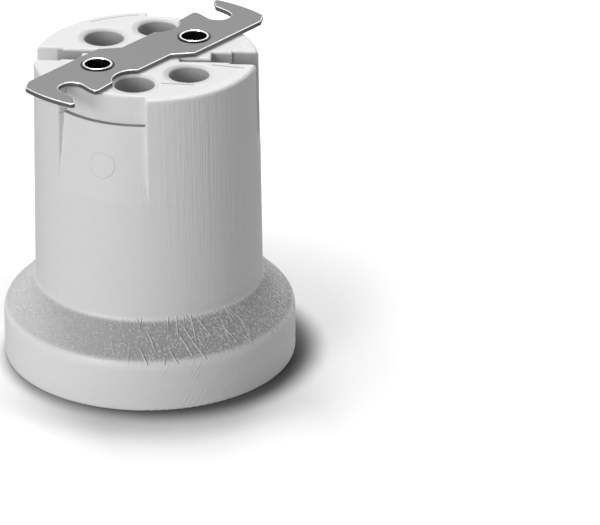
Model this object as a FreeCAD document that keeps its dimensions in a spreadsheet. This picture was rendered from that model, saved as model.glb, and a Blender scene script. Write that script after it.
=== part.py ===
import FreeCAD, Part
import math
import os
import Sketcher

# Lamp holder with a large screw thread, standing on the rim of its mouth.
# Millimetres, +Z up along the holder's axis, z = 0 at the mouth, origin on the axis.

doc = FreeCAD.newDocument("lamp_holder")

SIZES = [
    ("thread_r", 20.05), ("thread_deep", 1.9), ("thread_pitch", 6.35), ("sheet", 0.5),
    ("shell_front", 18.5), ("shell_fade", 2.2), ("shell_gap", 1.15),
    ("body_wall", 5.15), ("rear_taper", 0.75), ("flange_step", 7.65), ("flange_lip", 4.6),
    ("tall", 75.0), ("flange_tall", 12.2), ("shoulder_tall", 7.7), ("shoulder_round", 4.2),
    ("mouth_deep", 7.0), ("cone_tall", 12.5), ("cone_start", 1.6), ("partition", 25.0),
    ("mouth_round", 1.6), ("lip_round", 0.7), ("neck_round", 2.0), ("corner_round", 4.0),
    ("edge_round", 0.6), ("rim_round", 1.0),
    ("slot_wide", 7.0), ("slot_narrow", 5.6), ("slot_step", 19.7), ("slot_end", 15.0),
    ("slot_deep", 17.0), ("slot_turn", -3.0), ("slot_tail", 8.0), ("slot_tail_side", 1.0),
    ("spout_in", 2.6), ("spout_tall", 5.5),
    ("hole_r", 4.65), ("screw_ring", 14.6), ("screw_turn", 134.0),
    ("wire_ring", 16.2), ("wire_turn", 82.0),
    ("recess_in", 2.6), ("recess_deep", 7.0), ("recess_step", 0.9), ("recess_fade", 22.0),
    ("recess_start", 41.0), ("recess_span", 50.0),
    ("bracket_turn", 36.4), ("plate", 1.2), ("bracket_r", 34.1), ("plate_round", 0.8),
    ("hook_in", 8.4), ("hook_v", 7.2), ("hook_r", 3.05), ("cutout_gap", 0.45),
    ("lobe_u", 8.4), ("lobe_v", 7.6), ("waist_u", 3.4), ("waist_v", 5.0), ("arm_u", 15.0), ("arm_v", 9.6),
    ("end_in", 2.4), ("end_low", 1.6), ("end_high", 0.9), ("tip_low", 1.2), ("tip_mid", 2.5),
    ("tip_out", 4.6), ("tip_high", 8.5), ("lip_side", 0.4), ("lip_low", 3.0), ("lip_high", 4.9),
    ("rivet_ring", 13.6), ("rivet_r", 3.4), ("rivet_bore", 3.0), ("rivet_head", 4.0),
    ("rivet_rise", 0.4), ("rivet_play", 0.05), ("rivet_seat", 10.0), ("rivet_round", 0.3),
    ("washer_r", 4.5), ("washer_thick", 1.0), ("seat_r", 4.9),
    ("block_long", 10.0), ("block_wide", 9.6), ("block_tall", 9.0), ("block_rise", 1.0),
    ("block_play", 0.3), ("ledge", 0.5), ("chamber_tall", 7.0), ("play", 0.05),
    ("screw_m", 2.5), ("screw_head", 4.1), ("screw_head_tall", 3.0), ("screw_long", 4.5),
    ("screw_slot", 1.2), ("clamp_side", 6.4), ("clamp_thick", 1.0),
    ("strip_wide", 7.0), ("strip_thick", 0.8), ("strip_tail", 7.0), ("strip_reach", 4.0),
    ("fix_m", 2.0), ("fix_head", 3.4), ("fix_head_tall", 2.2), ("fix_long", 4.4),
    ("stem_r", 2.5), ("stem_neck", 1.5), ("stem_flange", 4.0), ("stem_flange_tall", 1.2),
    ("stem_tail_r", 1.8), ("stem_tail", 7.0), ("button_r", 5.5), ("button_tall", 3.0),
    ("button_gap", 4.2), ("button_round", 1.4), ("spring_wire", 0.4), ("spring_r", 3.3),
    ("spring_turns", 6.0), ("pocket_r", 4.4), ("pocket_deep", 16.0),
    ("leg_gap", 4.5), ("leg_wide", 4.4), ("foot_long", 5.2), ("foot_turn", 57.0),
    ("tab_wide", 7.0), ("foot_pin_in", 2.6), ("pin_r", 1.4), ("pin_head", 2.0),
    ("pin_head_tall", 1.2), ("pin_long", 6.0),
    ("notch_low", 6.0), ("notch_tall", 2.2), ("notch_wide", 6.0), ("notch_turn", 200.0),
    ("step_low", 8.0), ("step_tall", 1.8), ("step_wide", 3.2), ("step_turn", 205.0),
]

sheet = doc.addObject("Spreadsheet::Sheet", "Sizes")
for row, (alias, number) in enumerate(SIZES, start=1):
    sheet.set("A%d" % row, alias)
    sheet.set("B%d" % row, str(number))
    sheet.setAlias("B%d" % row, alias)
doc.recompute()

UP = FreeCAD.Vector(0, 0, 1)
HALF_TURN = 180.0
TERMINAL_SLOT_TURN = 30.0
FIXING_SLOT_TURN = 70.0
FULL_TURN = 360.0
TINY = 1e-6


# A size is a sum of sheet cells and plain numbers, kept both as a value and as an expression.
def size(*terms):
    value = 0.0
    text = ""
    for term in terms:
        factor = 1.0
        if isinstance(term, (int, float)):
            value += term
            text += " + (%s)" % term
            continue
        if "*" in term:
            number, term = term.split("*")
            factor = float(number)
        value += factor * float(sheet.get(term))
        text += " + (%s) * Sizes.%s" % (factor, term)
    return value, text[3:]


def minus(*terms):
    value, text = size(*terms)
    return -value, "-(%s)" % text


def bind(thing, prop, amount):
    thing.setExpression(prop, amount[1])


REAR = ("tall",)
PARTITION = ("tall", "-1*partition")
SHELL_OUT = ("thread_r", "sheet")
BORE = SHELL_OUT + ("shell_gap",)
BODY = BORE + ("body_wall",)
REAR_R = BODY + ("-1*rear_taper",)
FLANGE = BODY + ("flange_step",)
MOUTH = FLANGE + ("-1*flange_lip",)
SHOULDER = ("flange_tall", "shoulder_tall")
CONE_END = ("mouth_deep", "cone_tall")
BLOCK_FRONT = PARTITION + ("block_rise",)
BLOCK_REAR = BLOCK_FRONT + ("block_tall",)
STRIP_FRONT = PARTITION + ("-1*strip_thick",)
SHELL_REAR = PARTITION + ("-1*leg_gap",)
HOOK_U = ("bracket_r", "-1*hook_in")
HOOK_OUTER = HOOK_U + ("hook_r",)
HOOK_INNER = HOOK_U + ("-1*hook_r",)


def new_body(label):
    body = doc.addObject("PartDesign::Body", label)
    body.Label = label
    return body


def origin_part(body, role):
    for feature in body.Origin.OriginFeatures:
        if feature.Role == role:
            return feature
    raise RuntimeError("no origin feature " + role)


# A sketch on one of the body's own planes, lifted and turned about Z by the given sizes.
def new_sketch(body, name, role="XY_Plane", lift=None, turn=None):
    sketch = body.newObject("Sketcher::SketchObject", name)
    sketch.AttachmentSupport = [(origin_part(body, role), "")]
    sketch.MapMode = "FlatFace"
    base = FreeCAD.Vector(0, 0, lift[0] if lift else 0)
    angle = turn[0] if turn else 0
    if role == "XY_Plane":
        sketch.AttachmentOffset = FreeCAD.Placement(base, FreeCAD.Rotation(UP, angle))
        if lift:
            bind(sketch, "AttachmentOffset.Base.z", lift)
    else:
        tilt = FreeCAD.Rotation(FreeCAD.Vector(0, 1, 0), angle)
        sketch.AttachmentOffset = FreeCAD.Placement(FreeCAD.Vector(), tilt)
    return sketch


def pin_point(sketch, geo, point, x, y, tag):
    for axis, amount, letter in ((-2, x, "x"), (-1, y, "y")):
        if abs(amount[0]) < TINY:
            sketch.addConstraint(Sketcher.Constraint("PointOnObject", geo, point, axis))
            continue
        kind = "DistanceX" if letter == "x" else "DistanceY"
        made = sketch.addConstraint(Sketcher.Constraint(kind, -1, 1, geo, point, amount[0]))
        sketch.renameConstraint(made, tag + letter)
        bind(sketch, "Constraints." + tag + letter, amount)


# A closed outline of straight lines through the given corners.
def outline(sketch, corners, tag="p"):
    spots = [FreeCAD.Vector(x[0], y[0], 0) for x, y in corners]
    count = len(spots)
    first = sketch.GeometryCount
    for number in range(count):
        line = Part.LineSegment(spots[number], spots[(number + 1) % count])
        sketch.addGeometry(line, False)
    for number in range(count):
        following = first + (number + 1) % count
        sketch.addConstraint(
            Sketcher.Constraint("Coincident", first + number, 2, following, 1))
    for number, (x, y) in enumerate(corners):
        pin_point(sketch, first + number, 1, x, y, "%s%d" % (tag, number))


def circle(sketch, x, y, radius, tag="c"):
    centre = FreeCAD.Vector(x[0], y[0], 0)
    made = sketch.addGeometry(Part.Circle(centre, UP, radius[0]), False)
    rule = sketch.addConstraint(Sketcher.Constraint("Radius", made, radius[0]))
    sketch.renameConstraint(rule, tag + "r")
    bind(sketch, "Constraints." + tag + "r", radius)
    pin_point(sketch, made, 3, x, y, tag)


def box_outline(sketch, x0, x1, y0, y1, tag="b"):
    outline(sketch, [(x0, y0), (x1, y0), (x1, y1), (x0, y1)], tag)


def pad(body, sketch, length, name):
    made = body.newObject("PartDesign::Pad", name)
    made.Profile = sketch
    made.Length = length[0]
    bind(made, "Length", length)
    return made


# A pocket cut towards -Z from its sketch, or towards +Z when it is reversed.
def pocket(body, sketch, length, name, upward=False):
    made = body.newObject("PartDesign::Pocket", name)
    made.Profile = sketch
    made.Length = length[0]
    bind(made, "Length", length)
    made.Reversed = upward
    return made


def revolve(body, sketch, name):
    made = body.newObject("PartDesign::Revolution", name)
    made.Profile = sketch
    made.ReferenceAxis = (sketch, ["V_Axis"])
    made.Angle = FULL_TURN
    return made


# The same cut once more on the opposite side of the axis.
def opposite(body, feature, name):
    made = body.newObject("PartDesign::PolarPattern", name)
    made.Originals = [feature]
    made.Axis = (origin_part(body, "Z_Axis"), [""])
    made.Angle = FULL_TURN
    made.Occurrences = 2
    body.Tip = made
    return made


def round_edges(body, base, names, radius, name):
    made = body.newObject("PartDesign::Fillet", name)
    made.Base = (base, names)
    made.Radius = radius[0]
    bind(made, "Radius", radius)
    return made


def edges_where(feature, test):
    doc.recompute()
    found = []
    for number, edge in enumerate(feature.Shape.Edges, start=1):
        if test(edge):
            found.append("Edge%d" % number)
    return found


def is_ring(edge, radius, level):
    if edge.Curve.TypeId != "Part::GeomCircle":
        return False
    centre = edge.Curve.Center
    off = math.hypot(centre.x, centre.y)
    near = abs(edge.Curve.Radius - radius[0]) < 0.01 and abs(centre.z - level[0]) < 0.01
    return near and off < 0.01


def is_upright(edge):
    box = edge.BoundBox
    return box.XLength < TINY and box.YLength < TINY


def lies_at(edge, level):
    box = edge.BoundBox
    return abs(box.ZMin - level[0]) < 0.001 and abs(box.ZMax - level[0]) < 0.001


def place(thing, x=None, y=None, z=None, turn=0.0):
    spot = FreeCAD.Vector(x[0] if x else 0, y[0] if y else 0, z[0] if z else 0)
    thing.Placement = FreeCAD.Placement(spot, FreeCAD.Rotation(UP, turn))
    for letter, amount in (("x", x), ("y", y), ("z", z)):
        if amount:
            bind(thing, "Placement.Base." + letter, amount)


# Distance from the axis and direction, as x and y sizes bound to the sheet.
def polar(ring, angle):
    value, text = ring
    turned = math.radians(angle)
    x = (value * math.cos(turned), "(%s) * %.12f" % (text, math.cos(turned)))
    y = (value * math.sin(turned), "(%s) * %.12f" % (text, math.sin(turned)))
    return x, y


ZERO = (0.0, "0")


# The white ceramic body: one fired piece, round mouth flange, hollow for the lamp cap,
# thick rear end with wire slots, screwdriver holes, wire holes and chambers.
def ceramic_body():
    body = new_body("ceramic_body")
    turned = new_sketch(body, "ceramic_profile", "XZ_Plane")
    outline(turned, [
        (size(*MOUTH), ZERO),
        (size(*FLANGE), ZERO),
        (size(*FLANGE), size("flange_tall")),
        (size(*BODY), size(*SHOULDER)),
        (size(*REAR_R), size(*REAR)),
        (ZERO, size(*REAR)),
        (ZERO, size(*PARTITION)),
        (size(*BORE), size(*PARTITION)),
        (size(*BORE), size(*CONE_END)),
        (size(*MOUTH, "-1*cone_start"), size("mouth_deep")),
        (size(*MOUTH), size("mouth_deep", "-1*cone_start")),
    ])
    solid = revolve(body, turned, "ceramic_turned")
    rounds = [
        ("shoulder_rounded", [(FLANGE, ("flange_tall",))], "shoulder_round"),
        ("neck_rounded", [(BODY, SHOULDER)], "neck_round"),
        ("lip_rounded", [(FLANGE, (0,))], "lip_round"),
        ("mouth_rounded", [(MOUTH, (0,))], "mouth_round"),
        ("corner_rounded", [(MOUTH, ("mouth_deep", "-1*cone_start"))], "corner_round"),
    ]
    for name, rings, radius in rounds:
        names = []
        for ring, level in rings:
            names += edges_where(solid, lambda edge: is_ring(edge, size(*ring), size(*level)))
        solid = round_edges(body, solid, names, size(radius), name)
        doc.recompute()
    cut_slots(body)
    cut_rear_holes(body)
    cut_recesses(body)
    cut_chambers(body)
    soften(body)
    return body


# Two radial slots in the rear rim bring the wires in, wide at the rim, narrower inside,
# with a shallow channel along one side towards the middle and a sloped spout below.
def cut_slots(body):
    turn = size("slot_turn")
    parts = [
        ("slot_outer", size("slot_step"), size(*BODY, 2), minus("0.5*slot_wide"),
         size("0.5*slot_wide"), size("slot_deep")),
        ("slot_inner", size("slot_end"), size("slot_step", 1), minus("0.5*slot_narrow"),
         size("0.5*slot_narrow"), size("slot_deep", -1.5)),
        ("slot_channel", size("slot_tail"), size("slot_end", 1), minus("0.5*slot_narrow"),
         minus("slot_tail_side"), size("slot_deep", -3.0)),
    ]
    for name, near, far, low, high, deep in parts:
        cut = new_sketch(body, name, lift=size(*REAR), turn=turn)
        box_outline(cut, near, far, low, high)
        opposite(body, pocket(body, cut, deep, name + "_cut"), name + "_pair")
    floor = REAR + ("-1*slot_deep",)
    spout = new_sketch(body, "slot_spout", "XZ_Plane", turn=turn)
    outline(spout, [
        (size(*REAR_R, "-1*spout_in"), size(*floor, 1)),
        (size(*BODY, 2), size(*floor, 1)),
        (size(*BODY, 2), size(*floor, "-1.6*spout_tall")),
        (size(*REAR_R, "-1*spout_in"), size(*floor)),
    ])
    cut = pocket(body, spout, size("slot_wide"), "slot_spout_cut")
    cut.SideType = "Symmetric"
    opposite(body, cut, "slot_spout_pair")


# Four round holes: two over the terminal screws, two straight through for wires,
# each with its edge broken, and two for the bracket's hollow rivets.
def cut_rear_holes(body):
    kinds = [
        ("screw_hole", "screw_ring", "screw_turn",
         size("partition", "-1*block_rise", "-1*block_tall", "-1*chamber_tall")),
        ("wire_hole", "wire_ring", "wire_turn", size("partition", 1)),
    ]
    for name, ring, turn, deep in kinds:
        hole = new_sketch(body, name, lift=size(*REAR), turn=size(turn))
        circle(hole, size(ring), ZERO, size("hole_r"))
        opposite(body, pocket(body, hole, deep, name + "_cut"), name + "_pair")
    hole = new_sketch(body, "rivet_hole", lift=size(*REAR), turn=size("bracket_turn"))
    circle(hole, size("rivet_ring"), ZERO, size("rivet_r", "rivet_play"))
    cut = pocket(body, hole, size("partition", 1), "rivet_hole_cut")
    opposite(body, cut, "rivet_hole_pair")
    seat = new_sketch(body, "rivet_seat", lift=size(*PARTITION), turn=size("bracket_turn"))
    circle(seat, size("rivet_ring"), ZERO, size("seat_r"))
    cut = pocket(body, seat, size("partition", "-1*rivet_seat"), "rivet_seat_cut", True)
    opposite(body, cut, "rivet_seat_pair")


# Two recesses in the side clear the heads of the fixing screws in the bracket's hooks:
# a deep step under the rear face, then a shallow slope that runs out down the side.
def cut_recesses(body):
    profile = new_sketch(body, "recess_profile", "XZ_Plane", turn=size("recess_start"))
    wall = REAR_R + ("-1*recess_in",)
    step = REAR + ("-1*recess_deep",)
    outline(profile, [
        (size(*wall), size(*REAR, 1)),
        (size(*BODY, 2), size(*REAR, 1)),
        (size(*BODY, 2), size(*step, "-1*recess_fade")),
        (size(*BODY), size(*step, "-1*recess_fade")),
        (size(*wall, "recess_step"), size(*step)),
        (size(*wall), size(*step)),
    ])
    cut = body.newObject("PartDesign::Groove", "recess_cut")
    cut.Profile = profile
    cut.ReferenceAxis = (profile, ["V_Axis"])
    cut.Angle = size("recess_span")[0]
    bind(cut, "Angle", size("recess_span"))
    opposite(body, cut, "recess_pair")


# Chambers for the terminals, open to the lamp side, with a ledge that holds the block
# and a passage to the wire slot, and a blind bore on the axis for the contact spring.
def cut_chambers(body):
    turn = size("screw_turn")
    half = size("0.5*block_wide", "block_play")
    inner = size("screw_ring", "-0.5*block_long", "-1*block_play")
    outer = size("screw_ring", "0.5*block_long", "block_play")
    lower = new_sketch(body, "block_room", lift=size(*PARTITION), turn=turn)
    box_outline(lower, inner, outer, minus("0.5*block_wide", "block_play"), half)
    cut = pocket(body, lower, size("block_rise", "block_tall"), "block_room_cut", True)
    opposite(body, cut, "block_room_pair")
    upper = new_sketch(body, "clamp_room", lift=size(*BLOCK_REAR), turn=turn)
    narrow = size("0.5*block_wide", "-1*ledge")
    box_outline(upper, size("screw_ring", "-0.5*block_long", "ledge"),
                size("screw_ring", "0.5*block_long", "-1*ledge"),
                minus("0.5*block_wide", "-1*ledge"), narrow)
    cut = pocket(body, upper, size("chamber_tall"), "clamp_room_cut", True)
    opposite(body, cut, "clamp_room_pair")
    link = new_sketch(body, "wire_passage", lift=size(*BLOCK_REAR), turn=turn)
    box_outline(link, size("screw_ring", "-0.5*block_long", "ledge"), size("screw_ring", 0.8),
                size("0.5*block_wide", "-1*ledge", -0.5), size("slot_end", -1.8))
    cut = pocket(body, link, size("chamber_tall"), "wire_passage_cut", True)
    opposite(body, cut, "wire_passage_pair")
    bore = new_sketch(body, "spring_bore", lift=size(*PARTITION))
    circle(bore, ZERO, ZERO, size("pocket_r"))
    pocket(body, bore, size("pocket_deep"), "spring_bore_cut", True)
    foot = new_sketch(body, "pin_hole", lift=size(*PARTITION), turn=size("foot_turn"))
    circle(foot, size(*SHELL_OUT, "-1*foot_pin_in"), ZERO, size("pin_r", "play"))
    cut = pocket(body, foot, size("pin_long", 0.5), "pin_hole_cut", True)
    opposite(body, cut, "pin_hole_pair")


# Ceramic edges are soft: the rim of the rear face most, its holes and slots less.
def soften(body):
    level = size(*REAR)
    rim = size(*REAR_R)[0]

    def on_rim(edge):
        if not lies_at(edge, level):
            return False
        spots = edge.discretize(Number=5)
        return all(abs(math.hypot(spot.x, spot.y) - rim) < 0.01 for spot in spots)

    names = edges_where(body.Tip, on_rim)
    solid = round_edges(body, body.Tip, names, size("rim_round"), "rim_rounded")
    names = edges_where(solid, lambda edge: lies_at(edge, level) and edge.Length < 40)
    names = [name for name in names if not touches_rim(solid, name, level, rim)]
    round_edges(body, solid, names, size("edge_round"), "rear_rounded")


# The inner border of the rounded rim is left alone.
def touches_rim(solid, name, level, rim):
    edge = solid.Shape.getElement(name)
    spots = edge.discretize(Number=5)
    border = rim - size("rim_round")[0]
    return all(abs(math.hypot(spot.x, spot.y) - border) < 0.15 for spot in spots)


# The flat steel fixing bracket, alike at both ends: a waist, a lobe round each rivet,
# a hollow beside each wire hole, and a hook open at one side for a fixing screw.
def fixing_bracket():
    body = new_body("fixing_bracket")
    plate = new_sketch(body, "bracket_plate")
    half = [
        (size("lobe_u"), minus("lobe_v")),
        (size("bracket_r", "-1*end_in"), minus("end_low")),
        (size("bracket_r"), size("end_high")),
        (size("bracket_r", 3), size("end_high", 3)),
        (size("bracket_r", 1), size("hook_v", "tip_high", 1.5)),
        (size(*HOOK_U, "2*tip_out", "-1*tip_mid"), size("hook_v", "2*tip_high", "-1*tip_out")),
        (size(*HOOK_U, "tip_mid"), size("hook_v", "tip_out")),
        (size(*HOOK_OUTER), size("hook_v", "tip_low")),
        (size(*HOOK_OUTER), size("hook_v")),
        (size(*HOOK_INNER), size("hook_v")),
        (size(*HOOK_INNER), size("hook_v", "lip_low")),
        (size(*HOOK_INNER, "-1*lip_side"), size("hook_v", "lip_high")),
        (size("arm_u"), size("arm_v")),
        (minus("waist_u"), size("waist_v")),
    ]
    other = [((-x[0], "-(%s)" % x[1]), (-y[0], "-(%s)" % y[1])) for x, y in half]
    outline(plate, half + other)
    solid = pad(body, plate, size("plate"), "bracket_pad")
    ends = new_sketch(body, "bracket_ends", lift=size("plate"))
    circle(ends, ZERO, ZERO, size("bracket_r"), "inside")
    circle(ends, ZERO, ZERO, size("bracket_r", 12), "outside")
    pocket(body, ends, size("plate", 1), "bracket_ends_cut")
    hook = new_sketch(body, "bracket_hook", lift=size("plate"))
    circle(hook, size(*HOOK_U), size("hook_v"), size("hook_r"))
    opposite(body, pocket(body, hook, size("plate", 1), "hook_cut"), "hook_pair")
    turn = size("wire_turn", "-1*bracket_turn")
    hollow = new_sketch(body, "bracket_hollow", lift=size("plate"), turn=turn)
    circle(hollow, size("wire_ring"), ZERO, size("hole_r", "cutout_gap"))
    opposite(body, pocket(body, hollow, size("plate", 1), "hollow_cut"), "hollow_pair")
    hole = new_sketch(body, "bracket_hole", lift=size("plate"))
    circle(hole, size("rivet_ring"), ZERO, size("rivet_r", "rivet_play"))
    opposite(body, pocket(body, hole, size("plate", 1), "bracket_hole_cut"), "bracket_holes")
    names = edges_where(body.Tip, lambda edge: is_upright(edge) and at_corner(edge))
    round_edges(body, body.Tip, names, size("plate_round"), "bracket_rounded")
    place(body, z=size(*REAR), turn=size("bracket_turn")[0])
    return body


# The outer corners of the plate, not the ends of the hook's round bottom.
def at_corner(edge):
    spot = edge.BoundBox.Center
    across = spot.x if spot.y > 0 else -spot.x
    level = abs(spot.y)
    hook_bottom = abs(level - size("hook_v")[0]) < 0.01
    outer_end = math.hypot(spot.x, spot.y) > size("bracket_r", -0.5)[0]
    hook_side = across > size(*HOOK_INNER, "-2*lip_side")[0] and level > size("hook_v")[0]
    middle = abs(across) < size("arm_u", "-1*waist_u")[0]
    return not hook_bottom and (outer_end or hook_side or middle)


# Hollow rivets with rolled heads hold the bracket, each over a washer in a deep seat.
def rivet(label, turn):
    body = new_body(label)
    low = ("rivet_seat", "washer_thick")
    profile = new_sketch(body, label + "_profile", "XZ_Plane")
    outline(profile, [
        (size("rivet_bore"), minus(*low, "rivet_rise")),
        (size("rivet_head"), minus(*low, "rivet_rise")),
        (size("rivet_head"), minus(*low)),
        (size("rivet_r"), minus(*low)),
        (size("rivet_r"), size("plate")),
        (size("rivet_head"), size("plate")),
        (size("rivet_head"), size("plate", "rivet_rise")),
        (size("rivet_bore"), size("plate", "rivet_rise")),
    ])
    solid = revolve(body, profile, label + "_turned")
    top = size("plate", "rivet_rise")
    names = edges_where(solid, lambda edge: is_ring(edge, size("rivet_head"), top))
    names += edges_where(solid, lambda edge: is_ring(edge, size("rivet_bore"), top))
    round_edges(body, solid, names, size("rivet_round"), label + "_rolled")
    x, y = polar(size("rivet_ring"), turn)
    place(body, x, y, size(*REAR))
    return body


# A short ring, cylinder or disc with a hole, as a pad of one or two circles.
def ring(label, outer, inner, tall, x, y, z):
    body = new_body(label)
    face = new_sketch(body, label + "_face")
    circle(face, ZERO, ZERO, outer, "outer")
    if inner:
        circle(face, ZERO, ZERO, inner, "inner")
    pad(body, face, tall, label + "_pad")
    place(body, x, y, z)
    return body


# Brass terminal block, a bore from the rear for the terminal screw and one from the
# lamp side for the screw that draws the block against its ledge.
def terminal_block(label, turn):
    body = new_body(label)
    face = new_sketch(body, label + "_face")
    box_outline(face, minus("0.5*block_long"), size("0.5*block_long"),
                minus("0.5*block_wide"), size("0.5*block_wide"))
    pad(body, face, size("block_tall"), label + "_pad")
    bore = new_sketch(body, label + "_rear_bore", lift=size("block_tall"))
    circle(bore, ZERO, ZERO, size("screw_m", "play"))
    pocket(body, bore, size("screw_long", 0.5), label + "_rear_cut")
    bore = new_sketch(body, label + "_front_bore")
    circle(bore, ZERO, ZERO, size("fix_m", "play"))
    pocket(body, bore, size("fix_long", "-1*block_rise", -0.2), label + "_front_cut", True)
    x, y = polar(size("screw_ring"), turn)
    place(body, x, y, size(*BLOCK_FRONT), turn)
    return body


# Square plate that presses the wire on to the block.
def clamp_plate(label, turn):
    body = new_body(label)
    face = new_sketch(body, label + "_face")
    box_outline(face, minus("0.5*clamp_side"), size("0.5*clamp_side"),
                minus("0.5*clamp_side"), size("0.5*clamp_side"))
    circle(face, ZERO, ZERO, size("screw_m", "play"))
    pad(body, face, size("clamp_thick"), label + "_pad")
    x, y = polar(size("screw_ring"), turn)
    place(body, x, y, size(*BLOCK_REAR), turn)
    return body


# A cheese-head screw with a straight slot, head towards +Z or, upended, towards -Z.
def slotted_screw(label, shank, head, head_tall, length, x, y, z, turn, upended=False):
    body = new_body(label)
    sign = -1 if upended else 1
    face = new_sketch(body, label + "_face")
    circle(face, ZERO, ZERO, shank)
    made = pad(body, face, length, label + "_shank")
    made.Reversed = not upended
    top = new_sketch(body, label + "_top")
    circle(top, ZERO, ZERO, head)
    made = pad(body, top, head_tall, label + "_head")
    made.Reversed = upended
    deep = (0.45 * head_tall[0], "0.45 * (%s)" % head_tall[1])
    level = head_tall if not upended else (-head_tall[0], "-(%s)" % head_tall[1])
    slot = new_sketch(body, label + "_slot", lift=level)
    wide = (head[0] + 1, "(%s) + 1" % head[1])
    low = (-wide[0], "-(%s)" % wide[1])
    box_outline(slot, low, wide, minus("0.5*screw_slot"), size("0.5*screw_slot"))
    pocket(body, slot, deep, label + "_slot_cut", upended)
    place(body, x, y, z, turn)
    return body


# The strip that carries the current from one terminal to the middle contact.
def contact_strip():
    body = new_body("contact_strip")
    face = new_sketch(body, "strip_face")
    box_outline(face, minus("strip_tail"), size("screw_ring", "strip_reach"),
                minus("0.5*strip_wide"), size("0.5*strip_wide"))
    circle(face, ZERO, ZERO, size("stem_r", "play"), "middle")
    circle(face, size("screw_ring"), ZERO, size("fix_m", "play"), "fixing")
    solid = pad(body, face, size("strip_thick"), "strip_pad")
    names = edges_where(solid, lambda edge: is_upright(edge) and abs(edge.BoundBox.YMin) > 3)
    round_edges(body, solid, names, size(1.2), "strip_rounded")
    place(body, z=size(*STRIP_FRONT), turn=size("screw_turn")[0])
    return body


# The sprung middle contact: a stem with a flange behind the strip, and its button.
def contact_stem():
    body = new_body("contact_stem")
    back = ("strip_thick", "button_gap")
    profile = new_sketch(body, "stem_profile", "XZ_Plane")
    outline(profile, [
        (ZERO, minus(*back, "button_tall")),
        (size("stem_neck"), minus(*back, "button_tall")),
        (size("stem_neck"), minus(*back)),
        (size("stem_r"), minus(*back)),
        (size("stem_r"), ZERO),
        (size("stem_flange"), ZERO),
        (size("stem_flange"), size("stem_flange_tall")),
        (size("stem_tail_r"), size("stem_flange_tall")),
        (size("stem_tail_r"), size("stem_flange_tall", "stem_tail")),
        (ZERO, size("stem_flange_tall", "stem_tail")),
    ])
    revolve(body, profile, "stem_turned")
    place(body, z=size(*PARTITION))
    return body


def contact_button():
    body = new_body("contact_button")
    face = new_sketch(body, "button_face")
    circle(face, ZERO, ZERO, size("button_r"), "outer")
    circle(face, ZERO, ZERO, size("stem_neck"), "inner")
    solid = pad(body, face, size("button_tall"), "button_pad")
    names = edges_where(solid, lambda edge: is_ring(edge, size("button_r"), ZERO))
    round_edges(body, solid, names, size("button_round"), "button_domed")
    low = ("strip_thick", "button_gap", "button_tall")
    place(body, z=size(*PARTITION, *["-1*" + name for name in low]))
    return body


# The coil spring behind the middle contact, between the stem's flange and the bore's end.
def contact_spring():
    body = new_body("contact_spring")
    wire = new_sketch(body, "spring_section", "XZ_Plane")
    circle(wire, size("spring_r"), size("spring_wire"), size("spring_wire"))
    doc.recompute()
    coil = body.newObject("PartDesign::AdditiveHelix", "spring_coil")
    coil.Profile = wire
    coil.ReferenceAxis = (wire, ["V_Axis"])
    coil.Mode = 2
    free = size("pocket_deep", "-1*stem_flange_tall", "-2*spring_wire")
    coil.Height = free[0]
    coil.Turns = size("spring_turns")[0]
    bind(coil, "Height", free)
    bind(coil, "Turns", size("spring_turns"))
    place(body, z=size(*PARTITION, "stem_flange_tall"))
    return body


# The screw shell: sheet metal rolled to the thread, plain round at both ends,
# with a stepped notch, two feet and a wide tab turned in at its rear end.
def screw_shell():
    major, deep, pitch = cells("thread_r", "thread_deep", "thread_pitch")
    metal, fade = cells("sheet", "shell_fade")
    front = size("shell_front")[0]
    rear = size(*SHELL_REAR)[0]
    middle = major - deep / 2
    steps_round = 40
    steps_along = 40

    def radius(angle, level):
        wave = middle + deep / 2 * math.cos(math.tau * level / pitch - angle)
        near_front = min(1.0, (level - front) / fade)
        near_rear = min(1.0, (rear - level) / fade)
        blend_front = near_front * near_front * (3 - 2 * near_front)
        blend_rear = near_rear * near_rear * (3 - 2 * near_rear)
        value = middle + (wave - middle) * blend_front
        return major + (value - major) * blend_rear

    def skin(extra):
        grid = []
        for step in range(steps_round + 1):
            angle = math.tau * (step % steps_round) / steps_round
            column = []
            for rise in range(steps_along + 1):
                level = front + (rear - front) * rise / steps_along
                reach = radius(angle, level) + extra
                column.append(FreeCAD.Vector(
                    reach * math.cos(angle), reach * math.sin(angle), level))
            grid.append(column)
        surface = Part.BSplineSurface()
        surface.interpolate(grid)
        return surface.toShape()

    inner = skin(0.0)
    outer = skin(metal)
    rings = []
    for level in (front, rear):
        pair = [end_edge(face, level) for face in (inner, outer)]
        rings.append(Part.makeRuledSurface(pair[0], pair[1]))
    sewn = Part.makeShell([inner, outer] + rings)
    sewn.sewShape()
    solid = Part.makeSolid(sewn)
    if solid.Volume < 0:
        solid.reverse()
    return finish_shell(solid)


def cells(*names):
    return [size(name)[0] for name in names]


def end_edge(face, level):
    for edge in face.Edges:
        box = edge.BoundBox
        if abs(box.ZMin - level) < 0.001 and abs(box.ZMax - level) < 0.001:
            return edge
    raise RuntimeError("no end edge")


def turned_box(x0, x1, half, z0, z1, angle):
    box = Part.makeBox(x1 - x0, 2 * half, z1 - z0, FreeCAD.Vector(x0, -half, z0))
    box.rotate(FreeCAD.Vector(), UP, angle)
    return box


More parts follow.
